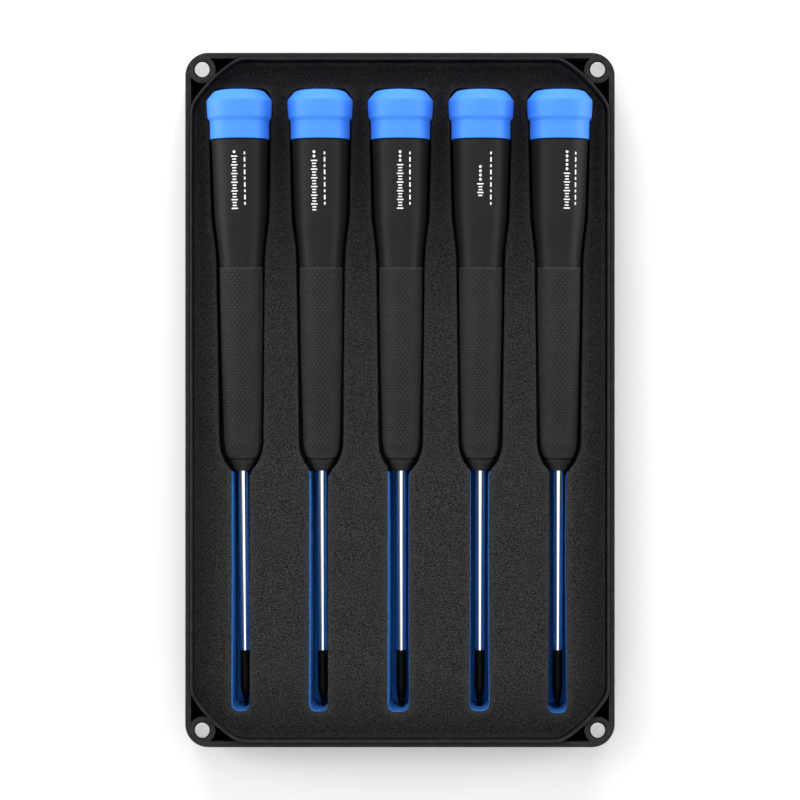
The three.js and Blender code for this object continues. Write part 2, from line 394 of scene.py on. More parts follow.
class Shell:
    """Points in millimetres and faces, gathered step by step, with a paleness value for each point: wear, and
    painted light.
    """

    def __init__(self):
        self.points = []
        self.wear_and_painted_light = []
        self.faces = []

    def ring(self, points, wear_and_painted_light=0.0):
        first = len(self.points)
        self.points += [tuple(p) for p in points]
        self.wear_and_painted_light += [wear_and_painted_light] * len(points)
        return list(range(first, len(self.points)))

    def level(self, outline, height, wear_and_painted_light=0.0):
        heights = height if isinstance(height, list) else [height] * len(outline)
        return self.ring([(x, y, z) for (x, y), z in zip(outline, heights)], wear_and_painted_light)

    def strip(self, a, b):
        """Quads between two closed rings, or a fan where one of them is a single point."""
        count = max(len(a), len(b))
        for i in range(count):
            j = (i + 1) % count
            if len(a) == 1:
                self.faces.append((a[0], b[j], b[i]))
            elif len(b) == 1:
                self.faces.append((a[i], a[j], b[0]))
            else:
                self.faces.append((a[i], a[j], b[j], b[i]))

    def wall(self, outline, section):
        """Rings for each [growth, height, paleness] of a section, joined by strips. Gives the first and last.
        """
        rings = [self.level(grown(outline, growth), height, wear_and_painted_light) for growth, height, wear_and_painted_light in section]
        for a, b in zip(rings, rings[1:]):
            self.strip(a, b)
        return rings[0], rings[-1]

    def fill(self, outer, holes, up, spacing=None, height=None):
        """A flat or gently shaped face between one ring and the rings of its holes."""
        loops = [outer, *holes]
        index = [i for loop in loops for i in loop]
        flat = [self.points[i][:2] for i in index]
        edges, start = [], 0
        for loop in loops:
            edges += [(start + i, start + (i + 1) % len(loop)) for i in range(len(loop))]
            start += len(loop)
        outlines = [np.array([self.points[i][:2] for i in loop]) for loop in loops]
        if spacing:
            inner = grid_inside(outlines, spacing)
            flat += [tuple(p) for p in inner]
        made, _, faces, sources, _, _ = delaunay_2d_cdt([Vector(p) for p in flat], edges, [], 0, 1e-7)
        lookup = []
        for p, source in zip(made, sources):
            known = [s for s in source if s < len(index)]
            if known:
                lookup.append(index[known[0]])
            else:
                lookup.append(self.ring([(p.x, p.y, height(p.x, p.y))])[0])
        middles = np.array([sum((made[i] for i in f), Vector((0, 0))) / len(f) for f in faces])
        for face, kept in zip(faces, inside(middles, outlines)):
            if kept:
                corners = [lookup[i] for i in face]
                self.faces.append(tuple(corners if up else corners[::-1]))

    def object(self, name, finishes, chosen=None, place=None):
        """The mesh object. chosen gives the finish number of a face from its middle."""
        if self.volume() < 0:
            self.faces = [f[::-1] for f in self.faces]
        mesh = bpy.data.meshes.new(name)
        mesh.from_pydata([Vector(p) * MM for p in self.points], [], self.faces)
        mesh.validate()
        for finish in finishes:
            mesh.materials.append(finish)
        if chosen:
            for polygon in mesh.polygons:
                polygon.material_index = chosen(polygon.center / MM)
        worn_and_highlight = mesh.attributes.new("wear_and_painted_light", "FLOAT", "POINT")
        worn_and_highlight.data.foreach_set("value", self.wear_and_painted_light)
        mesh.shade_smooth()
        mesh.set_sharp_from_angle(angle=math.radians(38))
        return place_mesh(name, mesh, place)

    def volume(self):
        points = np.array(self.points)
        total = 0.0
        for corners in (3, 4):
            chosen = [f for f in self.faces if len(f) == corners]
            if chosen:
                faces = np.array(chosen)
                for k in range(1, corners - 1):
                    a, b, c = points[faces[:, 0]], points[faces[:, k]], points[faces[:, k + 1]]
                    total += float(np.einsum("ij,ij->i", a, np.cross(b, c)).sum()) / 6
        return total


def place_mesh(name, mesh, place=None):
    obj = bpy.data.objects.new(name, mesh)
    bpy.context.scene.collection.objects.link(obj)
    if place:
        obj.matrix_world = place
    return obj


def inside(points, outlines):
    """Which points lie inside an odd number of the outlines."""
    result = np.zeros(len(points), bool)
    for outline in outlines:
        following = np.roll(outline, -1, axis=0)
        x1, y1, x2, y2 = outline[:, 0], outline[:, 1], following[:, 0], following[:, 1]
        run = np.where(y2 == y1, 1e-12, y2 - y1)
        for start in range(0, len(points), 2000):
            px = points[start : start + 2000, 0][:, None]
            py = points[start : start + 2000, 1][:, None]
            crosses = ((y1 > py) != (y2 > py)) & (px < (x2 - x1) * (py - y1) / run + x1)
            result[start : start + 2000] ^= crosses.sum(axis=1) % 2 == 1
    return result


def grid_inside(outlines, spacing):
    """Points of a staggered grid inside the region, kept off its edges."""
    low, high = outlines[0].min(axis=0), outlines[0].max(axis=0)
    rows = np.arange(low[1] + spacing, high[1], spacing * 0.87)
    columns = np.arange(low[0] + spacing, high[0], spacing)
    grid = np.array([(x + (k % 2) * spacing / 2, y) for k, y in enumerate(rows) for x in columns])
    grid = grid[inside(grid, outlines)]
    edge = np.concatenate(outlines)
    keep = np.ones(len(grid), bool)
    for start in range(0, len(grid), 500):
        gap = grid[start : start + 500, None, :] - edge[None, :, :]
        keep[start : start + 500] = (gap**2).sum(axis=2).min(axis=1) > (0.55 * spacing) ** 2
    return grid[keep]


def quarter(growth, height, radius, outer, falling, steps=4):
    """[growth, height, paleness] rows of a rounded edge that ends at the given corner's two faces.

    outer: the solid lies inside the outline. falling: the rows run from the top face down.
    """
    rows = []
    for i in range(steps + 1):
        a = math.pi / 2 * i / steps
        in_by, down_by = radius * (1 - math.sin(a)), radius * (1 - math.cos(a))
        rows.append([growth - in_by if outer else growth + in_by, height - down_by, 1.0])
    return rows if falling else rows[::-1]


def filleted(profile):
    """[radius, station, paleness] rows from [radius, station] or [radius, station, fillet] corners.

    Only the tight fillets take the pale edge tone, part wear and part painted highlight.
    """
    rows = []
    for i, corner in enumerate(profile):
        radius, station = corner[:2]
        if len(corner) < 3 or i in (0, len(profile) - 1):
            rows.append((radius, station, 0.0))
            continue
        here = Vector((radius, station))
        before = Vector(profile[i - 1][:2]) - here
        after = Vector(profile[i + 1][:2]) - here
        a = here + before * min(0.48, corner[2] / before.length)
        b = here + after * min(0.48, corner[2] / after.length)
        for k in range(6):
            t = k / 5
            p = a * (1 - t) ** 2 + here * 2 * t * (1 - t) + b * t * t
            wear_and_painted_light = 1 - abs(2 * t - 1) if corner[2] < PALE_EDGE_FILLET else 0.0
            rows.append((p.x, p.y, wear_and_painted_light))
    return rows


def turned(profile, sides, section=None, closed=False):
    """A turned solid on the driver's axis. section(station, angle, radius) reshapes a ring."""
    shell = Shell()
    rings = []
    for radius, station, wear_and_painted_light in profile:
        if radius == 0:
            rings.append(shell.ring([(0, -station, 0)], wear_and_painted_light))
            continue
        ring = []
        for i in range(sides):
            angle = 2 * math.pi * i / sides
            r = section(station, angle, radius) if section else radius
            ring.append((r * math.cos(angle), -station, r * math.sin(angle)))
        rings.append(shell.ring(ring, wear_and_painted_light))
    for a, b in zip(rings, rings[1:]):
        shell.strip(a, b)
    if closed:
        shell.strip(rings[-1], rings[0])
    return shell


# -------- finishes


class Finish:
    """A Principled material whose colour, roughness and relief are built from small node chains."""

    def __init__(self, name, **numbers):
        self.material = bpy.data.materials.new(name)
        self.material.use_nodes = True
        self.nodes = self.material.node_tree.nodes
        self.links = self.material.node_tree.links
        self.shader = self.nodes["Principled BSDF"]
        self.place = self.nodes.new("ShaderNodeTexCoord").outputs["Object"]
        for socket, value in numbers.items():
            self.shader.inputs[socket.replace("_", " ")].default_value = value

    def grain(self, size, detail=2.0, roughness=0.5, stretch=None):
        """Noise with features of about that size in millimetres."""
        node = self.nodes.new("ShaderNodeTexNoise")
        node.inputs["Scale"].default_value = 1 / (size * MM)
        node.inputs["Detail"].default_value = detail
        node.inputs["Roughness"].default_value = roughness
        self.links.new(self.stretched(stretch), node.inputs["Vector"])
        return node.outputs["Fac"]

    def cells(self, size):
        """Distance to the middle of the nearest cell, for pores."""
        node = self.nodes.new("ShaderNodeTexVoronoi")
        node.inputs["Scale"].default_value = 1 / (size * MM)
        self.links.new(self.place, node.inputs["Vector"])
        return node.outputs["Distance"]

    def stretched(self, stretch):
        if not stretch:
            return self.place
        node = self.nodes.new("ShaderNodeMapping")
        node.inputs["Scale"].default_value = stretch
        self.links.new(self.place, node.inputs["Vector"])
        return node.outputs["Vector"]

    # The paleness of each point: wear, and painted light on edges, slot walls, the nose and the grip's seam.
    def wear_and_painted_light(self):
        node = self.nodes.new("ShaderNodeAttribute")
        node.attribute_name = "wear_and_painted_light"
        return node.outputs["Fac"]

    def along(self, axis, start, end, at_start, at_end):
        """A value that changes along one of the piece's axes between two places in millimetres."""
        node = self.nodes.new("ShaderNodeSeparateXYZ")
        self.links.new(self.place, node.inputs["Vector"])
        return self.spread(node.outputs[axis], start * MM, end * MM, at_start, at_end)

    def spread(self, value, low, high, to_low=0.0, to_high=1.0):
        """A value's stretch from low to high, moved to another range."""
        node = self.nodes.new("ShaderNodeMapRange")
        for socket, number in zip(("From Min", "From Max", "To Min", "To Max"), (low, high, to_low, to_high)):
            node.inputs[socket].default_value = number
        self.links.new(value, node.inputs["Value"])
        return node.outputs["Result"]

    def times(self, a, b):
        node = self.nodes.new("ShaderNodeMath")
        node.operation = "MULTIPLY"
        self.links.new(a, node.inputs[0])
        if isinstance(b, (int, float)):
            node.inputs[1].default_value = b
        else:
            self.links.new(b, node.inputs[1])
        return node.outputs["Value"]

    def mixed(self, share, a, b):
        """Colour a to colour b by share. A colour is three numbers or another node's output."""
        node = self.nodes.new("ShaderNodeMix")
        node.data_type = "RGBA"
        self.links.new(share, node.inputs["Factor"])
        for socket, colour in (("A", a), ("B", b)):
            target = [s for s in node.inputs if s.name == socket and s.type == "RGBA"][0]
            if isinstance(colour, tuple):
                target.default_value = (*colour, 1)
            else:
                self.links.new(colour, target)
        return [s for s in node.outputs if s.type == "RGBA"][0]

    def colour(self, source):
        self.links.new(source, self.shader.inputs["Base Color"])

    def roughness(self, source):
        self.links.new(source, self.shader.inputs["Roughness"])

    def relief(self, source, depth, strength=1.0, under=None):
        """Bump of that depth in millimetres, over an earlier bump."""
        node = self.nodes.new("ShaderNodeBump")
        node.inputs["Distance"].default_value = depth * MM
        node.inputs["Strength"].default_value = strength
        self.links.new(source, node.inputs["Height"])
        if under:
            self.links.new(under, node.inputs["Normal"])
        self.links.new(node.outputs["Normal"], self.shader.inputs["Normal"])
        return node.outputs["Normal"]


def grey(value):
    return (value, value, value)


def moulded_plastic(name, dark, light, worn_and_highlight, rough, specular, edge_share=1.0):
    """Satin injection-moulded plastic: spark-eroded texture, faint flow tone, and paler edges that are part
    wear and part painted highlight.

    edge_share: how much of the pale edge tone, wear and painted highlight, its edges take.
    """
    f = Finish(name, Specular_IOR_Level=specular)
    flow = f.spread(f.grain(14, 3), 0.3, 0.7)
    tone = f.mixed(flow, dark, light)
    fine = f.grain(0.22, 2, 0.6)
    speck = f.mixed(f.spread(fine, 0.35, 0.75, 0, 0.35), tone, worn_and_highlight)
    # Edges paler: part wear, part painted highlight.
    edge = f.times(f.wear_and_painted_light(), f.spread(f.grain(2.4, 3), 0.35, 0.65, 0.3, 0.7))
    f.colour(f.mixed(f.times(edge, edge_share), speck, worn_and_highlight))
    f.roughness(f.spread(f.grain(3.5, 4), 0.3, 0.7, rough - 0.01, rough + 0.01))
    f.relief(fine, 0.018, 0.6)
    return f.material


def foam(name, pore, low, high, edge, specular, edge_share=1.0, painted_shade=False):
    """Fine closed-cell foam: a matt face with light specks and darker pores, its cuts painted paler as a
    painted highlight.

    edge_share: how much paler the cuts are painted, a painted highlight. The switch after it paints shade:
    the foam is darker towards the rim and the caps, where the rim, the caps and the handles shade it.
    """
    f = Finish(name, Specular_IOR_Level=specular)
    fine = f.grain(0.3, 2, 0.65)
    tone_share = f.spread(fine, 0.43, 0.59)
    # Painted shade: darker towards the rim on both sides, towards the caps and towards the near end.
    if painted_shade:
        across = f.times(f.along("X", -55, -46, 0.35, 1.0), f.along("X", 46, 55, 1.0, 0.35))
        down = f.times(f.along("Y", 20, 72, 1.0, 0.2), f.along("Y", -90, -74, 0.45, 1.0))
        tone_share = f.times(tone_share, f.times(across, down))
    tone = f.mixed(tone_share, low, high)
    pores = f.spread(f.cells(0.5), 0.08, 0.3, 1, 0)
    cloud = f.spread(f.grain(7, 3), 0.35, 0.65, 0.15, 0.75)
    pored = f.mixed(f.times(pores, cloud), tone, pore)
    specks = f.spread(f.grain(0.26, 1), 0.63, 0.72, 0, 0.8)
    pored = f.mixed(specks, pored, edge)
    # Painted highlight and painted light: cut edges, and the blue slot walls near their tops, take the pale
    # edge tone.
    cut = f.times(f.wear_and_painted_light(), f.spread(f.grain(1.1, 2), 0.3, 0.6, 0.4 * edge_share, edge_share))
    f.colour(f.mixed(cut, pored, edge))
    f.roughness(f.spread(f.grain(0.9, 2), 0.3, 0.7, 0.86, 1.0))
    rough = f.relief(fine, 0.09, 0.8)
    f.relief(f.cells(0.8), 0.05, 0.5, rough)
    return f.material


def rubber(name, low, high, specular):
    """Matt grip rubber with a little bloom in its tone."""
    f = Finish(name, Specular_IOR_Level=specular, Sheen_Weight=0.04, Sheen_Roughness=0.5)
    bloom = f.spread(f.grain(9, 3), 0.3, 0.7)
    tone = f.mixed(bloom, low, high)
    # Knurl tops are rubbed paler, and the sleeve's edge takes the same tone as a painted highlight.
    rubbed_and_highlight = f.times(f.wear_and_painted_light(), f.spread(f.grain(1.6, 3), 0.35, 0.65, 0.2, 0.7))
    f.colour(f.mixed(rubbed_and_highlight, tone, tuple(c * 1.7 for c in high)))
    f.roughness(f.spread(f.grain(4, 4), 0.3, 0.7, 0.56, 0.7))
    f.relief(f.grain(0.2, 2, 0.6), 0.012, 0.5)
    return f.material


def metal(name, low, high, rough, lines=None, depth=0.002):
    """Bare or plated metal with drawn lines or fine polish, and slight clouding."""
    f = Finish(name, Metallic=1.0)
    f.colour(f.mixed(f.spread(f.grain(5, 3), 0.3, 0.7), low, high))
    f.roughness(f.spread(f.grain(1.8, 4), 0.3, 0.7, rough * 0.8, rough * 1.25))
    f.relief(f.grain(0.25, 3, 0.6, lines), depth, 0.6)
    return f.material


def print_ink(name):
    """Pad-printed white ink, thin enough to vary a little."""
    f = Finish(name, Specular_IOR_Level=0.3)
    f.colour(f.mixed(f.spread(f.grain(0.35, 2), 0.3, 0.7), (0.72, 0.72, 0.71), (0.9, 0.9, 0.9)))
    f.roughness(f.spread(f.grain(0.8, 2), 0.3, 0.7, 0.45, 0.6))
    f.relief(f.grain(0.15, 2), 0.01, 0.5)
    return f.material


# Rounded edges of the tray, the handles and the caps take a paler tone: part wear, part painted highlight.
tray_plastic = moulded_plastic("tray_plastic", grey(0.0046), grey(0.0051), grey(0.031), 0.55, 0.075)
handle_plastic = moulded_plastic("handle_plastic", grey(0.0082), grey(0.0102), grey(0.026), 0.5, 0.12)
cap_plastic = moulded_plastic(
    "cap_plastic", (0.043, 0.225, 0.9), (0.051, 0.25, 0.95), (0.095, 0.32, 0.9), 0.45, 0.22, 0.35
)
# The black foam carries painted shade towards the rim and the caps, and a faint painted highlight on its
# cuts.
black_foam = foam(
    "black_foam", grey(0.0025), grey(0.0045), grey(0.0425), grey(0.045), 0.04, edge_share=0.3, painted_shade=True
)
# The blue foam's pale edge tone is painted light on the upper slot walls.
blue_foam = foam(
    "blue_foam", (0.005, 0.04, 0.17), (0.009, 0.07, 0.27), (0.018, 0.115, 0.38), (0.05, 0.19, 0.53), 0.05
)
grip_rubber = rubber("grip_rubber", (0.0127, 0.0131, 0.0129), (0.0165, 0.017, 0.0168), 0.14)
magnet_metal = metal("magnet", (0.46, 0.46, 0.45), (0.53, 0.53, 0.52), 0.42)
steel = metal("steel", (0.42, 0.43, 0.44), (0.5, 0.51, 0.52), 0.35)
chrome = metal("blade_chrome", (0.84, 0.86, 0.89), (0.9, 0.92, 0.94), 0.07, (1, 0.05, 1), 0.0004)
black_oxide = metal("black_oxide", (0.006, 0.0065, 0.006), (0.011, 0.012, 0.011), 0.5, (1, 0.3, 1), 0.004)
ink = print_ink("print_ink")


# -------- tray and magnets


def tray_piece():
    """Tray in one moulding: rim, lip, relief pockets, bosses with bores, floor."""
    shell = Shell()
    foot = quarter(0, FLOOR_TOP, FOOT_ROUND, True, True)
    foot = [[growth, FLOOR_TOP - height, wear_and_painted_light] for growth, height, wear_and_painted_light in foot]
    side = foot + quarter(0, RIM_TOP, EDGE_ROUND, True, False)
    bottom, rim = shell.wall(rounded_rectangle(0), side)
    shell.fill(bottom, [], False)

    lip_outer = quarter(LIP_THICKNESS, LIP_TOP, 0.22, True, False)
    lip_inner = quarter(0, LIP_TOP, 0.22, False, True)
    foot_in = [[0, FLOOR_TOP + 0.5, 0.0], [-0.15, FLOOR_TOP + 0.15, 0.0], [-0.5, FLOOR_TOP, 0.0]]
    section = [[LIP_THICKNESS, RIM_TOP, 0.0], *lip_outer, *lip_inner, *foot_in]
    cavity_top, cavity_floor = shell.wall(lip_outline(RIM_WIDTH + LIP_THICKNESS), section)
    shell.fill(cavity_floor, [], True)
    openings = [cavity_top]

    for outline in relief_pockets():
        mouth = quarter(0, RIM_TOP, 0.06, False, True, 2)
        top, floor = shell.wall(outline, [*mouth, [0, FLOOR_TOP, 0.0]])
        shell.fill(floor, [], True)
        openings.append(top)
    for corner in range(4):
        x, y = corner_point(corner, BOSS_INSET)
        mouth = quarter(0, RIM_TOP, 0.12, False, True, 3)
        top, floor = shell.wall(circle(x, y, MAGNET_BORE), [*mouth, [0, MAGNET_BOTTOM - 0.02, 0.0]])
        shell.fill(floor, [], True)
        openings.append(top)
    shell.fill(rim, openings, True)

    piece = shell.object("tray_moulding", [tray_plastic])
    weigh_normals(piece)
    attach(piece, "case")
    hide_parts("tray")


def weigh_normals(piece):
    modifier = piece.modifiers.new("flat_faces_stay_flat", "WEIGHTED_NORMAL")
    modifier.weight = 80
    modifier.keep_sharp = True


def magnet_piece(number):
    """Plated disc magnet with a ground face and a soft edge."""
    x, y = corner_point(number - 1, BOSS_INSET)
    shell = Shell()
    sunk = quarter(0, MAGNET_TOP, 0.15, True, True)
    sunk = [[growth, MAGNET_BOTTOM + (MAGNET_TOP - height), wear_and_painted_light] for growth, height, wear_and_painted_light in sunk]
    section = sunk + quarter(0, MAGNET_TOP, 0.22, True, False)
    bottom, top = shell.wall(circle(x, y, MAGNET_RADIUS, 64), section)
    shell.fill(bottom, [], False)
    shell.fill(top, [], True)
    piece = shell.object(f"magnet_disc_{number}", [magnet_metal])
    weigh_normals(piece)
    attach(piece, "case")
    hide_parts(f"magnet_{number}")


# -------- foam


def on_handle(y):
    """1 beside a handle, 0 beside a blade, for a point of a bay's outline."""
    edge = CAP_END_Y - NOSE_END - NOSE_STEP / 2
    return min(1.0, max(0.0, (y - edge) / NOSE_STEP))


def under_cap(y):
    """1 under a cap, 0 beyond it."""
    return min(1.0, max(0.0, (y - (CAP_END_Y - CAP_SHELF_LENGTH)) / CAP_SHELF_STEP))


def foam_outline(inset):
    """The foam's own edge: the cavity's shape, sitting a little off its middle."""
    return [(x + FOAM_SHIFT[0], y + FOAM_SHIFT[1]) for x, y in resampled(lip_outline(inset), 0.8)]


def undulated(shell):
    """The skin's face isn't quite level."""
    moved = []
    for x, y, z in shell.points:
        share = min(1.0, max(0.0, (z - SKIN_BOTTOM) / (FOAM_TOP - SKIN_BOTTOM)))
        wave = noise.noise(Vector((x / GRAIN_LONG_WAVE, y / GRAIN_LONG_WAVE, 3.0)))
        wave += 0.5 * noise.noise(Vector((x / GRAIN_SHORT_WAVE, y / GRAIN_SHORT_WAVE, 7.0)))
        moved.append((x, y, z + share * GRAIN_RELIEF * (wave - 1)))
    shell.points = moved


def shade_lining_bottom(y):
    """How far down the skin reaches at a bay's edge: beside the handle it lines the pocket in black, as
    painted shade.
    """
    shade_lined_to = SHADE_LINER_BOTTOM + under_cap(y) * (CAP_SHADE_LINER_BOTTOM - SHADE_LINER_BOTTOM)
    return SKIN_BOTTOM - 0.03 - on_handle(y) * (SKIN_BOTTOM - shade_lined_to)


def skin_piece():
    """Black skin with soft cut edges; beside the handles it turns down and lines the pocket in black as
    painted shade.
    """
    shell = Shell()
    outside = foam_outline(FOAM_INSET)
    side = [[0, SKIN_BOTTOM, 0.0], *quarter(0, FOAM_TOP, 0.25, True, False)]
    bottom, top = shell.wall(outside, side)
    mouths, unders = [], []
    for bay in BAYS:
        outline = cut_outline(bay)
        shade_liner = [shade_lining_bottom(y) for _, y in outline]
        section = quarter(0, FOAM_TOP, FOAM_ROUND, False, True)
        section += [[0, shade_liner, 0.0], [SHADE_LINER_THICKNESS, shade_liner, 0.0], [SHADE_LINER_THICKNESS, SKIN_BOTTOM, 0.0]]
        mouth, under = shell.wall(outline, section)
        mouths.append(mouth)
        unders.append(under)
    shell.fill(top, mouths, True, 1.6, lambda x, y: FOAM_TOP)
    shell.fill(bottom, unders, False)
    undulated(shell)
    piece = shell.object("foam_skin", [black_foam])
    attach(piece, "case")
    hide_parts("foam_top")


def floor_height(y):
    """Floor of a bay: shallow under the cap, deeper under the handle, deepest under the blade."""
    handle = HANDLE_FLOOR + under_cap(y) * (CAP_SHELF - HANDLE_FLOOR)
    return SLOT_FLOOR + on_handle(y) * (handle - SLOT_FLOOR)


def in_painted_shade_pocket(middle):
    """Whether a point of the base belongs to a handle pocket, which is made black as painted shade."""
    return middle.y > CAP_END_Y - NOSE_END - 0.1 and HANDLE_FLOOR - 0.5 < middle.z < BASE_TOP - 0.01


# Rings down a bay's wall: [share of its depth, step inwards, groove below the floor, paleness]. The paleness
# is painted light: the slot walls are painted paler near the top and darker deeper down.
BASE_RINGS = [
    [0, 0, 0, 1],
    [0.01, 0, 0, 1],
    [0.025, 0, 0, 1],
    [0.045, 0, 0, 1],
    [0.08, 0, 0, 0.75],
    [0.25, 0, 0, 0.55],
    [0.5, 0, 0, 0.4],
    [0.75, 0, 0, 0.25],
    [1, 0, 0, 0.1],
    [1, 0.1, GROOVE_DEPTH, 0],
    [1, 0.3, GROOVE_DEPTH, 0],
    [1, 0.5, 0, 0],
]


def base_piece():
    """Blue base with blind bays. Its slot walls lean out towards the top."""
    shell = Shell()
    outside = foam_outline(FOAM_INSET + 0.03)
    bottom, top = shell.wall(outside, [[0, FLOOR_TOP + 0.02, 0.0], [0, BASE_TOP, 0.0]])
    shell.fill(bottom, [], False)
    mouths = []
    for bay in BAYS:
        outline = cut_outline(bay)
        ways = outward(outline)
        beside = [on_handle(y) for _, y in outline]
        shoulder = [max(0, -wx) * bay["shoulder"][0] + max(0, wx) * bay["shoulder"][1] for wx, _ in ways]
        lean = [
            max(0, -wx) * bay["lean"][0] + max(0, wx) * bay["lean"][1] + max(0, -wy) * END_LEAN
            for wx, wy in ways
        ]
        floors = [floor_height(y) for _, y in outline]
        at_end = [max(0, -wy) * (1 - share) for (_, wy), share in zip(ways, beside)]
        rings = []
        for fall, tuck, groove, wear_and_painted_light in BASE_RINGS:
            swell = min(1.0, fall / FULL_SHOULDER) ** 0.6
            growth = []
            for handle_share, blue, tilt in zip(beside, shoulder, lean):
                behind_shade_lining = SHADE_LINER_THICKNESS + 0.03
                slot_wall = blue * swell + tilt * fall - 0.02
                growth.append(handle_share * behind_shade_lining - (1 - handle_share) * slot_wall - tuck)
            heights = [BASE_TOP + (z - BASE_TOP) * fall - groove * e for z, e in zip(floors, at_end)]
            rings.append(shell.level(grown(outline, growth), heights, wear_and_painted_light))
        for a, b in zip(rings, rings[1:]):
            shell.strip(a, b)
        mouths.append(rings[0])
        shell.fill(rings[-1], [], True, 1.2, lambda x, y: floor_height(y))
    shell.fill(top, mouths, True)
    # Faces in the handle pockets take the black foam: painted shade.
    piece = shell.object("foam_base_block", [blue_foam, black_foam], lambda m: int(in_painted_shade_pocket(m)))
    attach(piece, "case")
    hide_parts("foam_base")


# -------- drivers


def driver_place(number):
    """The driver's frame: origin at the end of the cap, Y along the axis away from the tip."""
    joint = next(j for j in frame["joints"] if j["name"] == f"spin_cap_{number}")
    along = Vector(joint["axis"]).normalized()
    if along.y < 0:
        along = -along
    across = along.cross(Vector((0, 0, 1))).normalized()
    up = across.cross(along)
    rows = [[across[i], along[i], up[i]] for i in range(3)]
    return Matrix.Translation(Vector(joint["pos_m"])) @ Matrix(rows).to_4x4()


def cap_shell():
    """Blue cap: crowned end, bevel, wide band, step and skirt, with the socket that it turns on."""
    return turned(
        filleted(
            [
                (0, 0.3),
                (3, 0.36, 1.5),
                (5.9, 0.62, 0.8),
                (7.05, 1.05, 0.5),
                (8.9, 3.35, 0.4),
                (8.9, 4.9, 0.8),
                (8.72, 8.0, 0.25),
                (8.1, 9.0, 0.25),
                (8.06, CAP_LENGTH, 0.22),
                (STUB_RADIUS + FIT_GAP, CAP_LENGTH, 0.12),
                (STUB_RADIUS + FIT_GAP, STUB_START - FIT_GAP),
                (SPINDLE_RADIUS + FIT_GAP, STUB_START - FIT_GAP),
                (SPINDLE_RADIUS + FIT_GAP, HEAD_END + FIT_GAP),
                (HEAD_RADIUS + FIT_GAP, HEAD_END + FIT_GAP),
                (HEAD_RADIUS + FIT_GAP, HEAD_START - FIT_GAP),
                (0, HEAD_START - FIT_GAP),
            ]
        ),
        120,
    )


def ear_section(round_radius, gap):
    """Round section, flattened out into two ears where the shank is crushed to stop it turning."""

    def section(station, angle, radius):
        if not EAR_START - gap <= station <= EAR_END + gap or radius < round_radius:
            return radius
        width = (EAR_HALF_WIDTH + gap) / max(abs(math.cos(angle)), 1e-6)
        height = (EAR_HALF_THICKNESS + gap) / max(abs(math.sin(angle)), 1e-6)
        return max(radius, min(width, height))

    return section


def core_shell():
    """Handle core: tapering body, hidden rod, and the nose, painted paler all over as a painted highlight,
    with bores for spindle and blade.
    """
    bore = BLADE_RADIUS + FIT_GAP
    ear_in, ear_out = EAR_START - FIT_GAP, EAR_END + FIT_GAP
    shell = turned(
        filleted(
            [
                (0, SPINDLE_END + FIT_GAP),
                (SPINDLE_RADIUS + FIT_GAP, SPINDLE_END + FIT_GAP),
                (SPINDLE_RADIUS + FIT_GAP, STUB_START),
                (STUB_RADIUS, STUB_START, 0.2),
                (STUB_RADIUS, BODY_START - 0.06),
                (BODY_RADIUS, BODY_START - 0.06, 0.22),
                *BODY_TAPER,
                (6.5, 40, 2.2),
                (5.97, 45, 2),
                (5.76, GRIP_START - 0.03, 0.05),
                (CORE_RADIUS, GRIP_START - 0.03),
                (CORE_RADIUS, GRIP_END + 0.25),
                (3.72, GRIP_END + 0.25, 0.12),
                (3.42, GRIP_END + 1.1, 0.5),
                (2.22, NOSE_END - 0.2, 0.25),
                (2.05, NOSE_END, 0.12),
                (bore, NOSE_END, 0.05),
                (bore, ear_out + 0.02),
                (bore, ear_out - 0.02),
                (bore, ear_in + 0.02),
                (bore, ear_in - 0.02),
                (bore, SHANK_START - FIT_GAP),
                (0, SHANK_START - FIT_GAP),
            ]
        ),
        96,
        lambda station, angle, radius: (
            ear_section(bore, FIT_GAP)(station, angle, radius) if radius == bore else radius
        ),
    )
    # The whole nose takes the pale tone: a painted highlight.
    shell.wear_and_painted_light = [1.0 if -y > GRIP_END + 0.3 else wear_and_painted_light for (_, y, _), wear_and_painted_light in zip(shell.points, shell.wear_and_painted_light)]
    return shell


def knurled(station, angle, radius):
    """Diamond pyramids with flattened tops, fading out at both ends of the grip."""
    if not KNURL_START < station < KNURL_END:
        return radius
    around = KNURL_ROUND * angle / (2 * math.pi)
    along = (station - KNURL_START) / KNURL_PITCH
    rise = min(abs((around + way * along + 0.5) % 1 - 0.5) for way in (1, -1)) * 2
    fade = min(1.0, (station - KNURL_START) / KNURL_FADE_IN, (KNURL_END - station) / KNURL_FADE_OUT)
    return radius - KNURL_DEPTH * fade * (1 - min(1.0, rise / KNURL_FLANK))


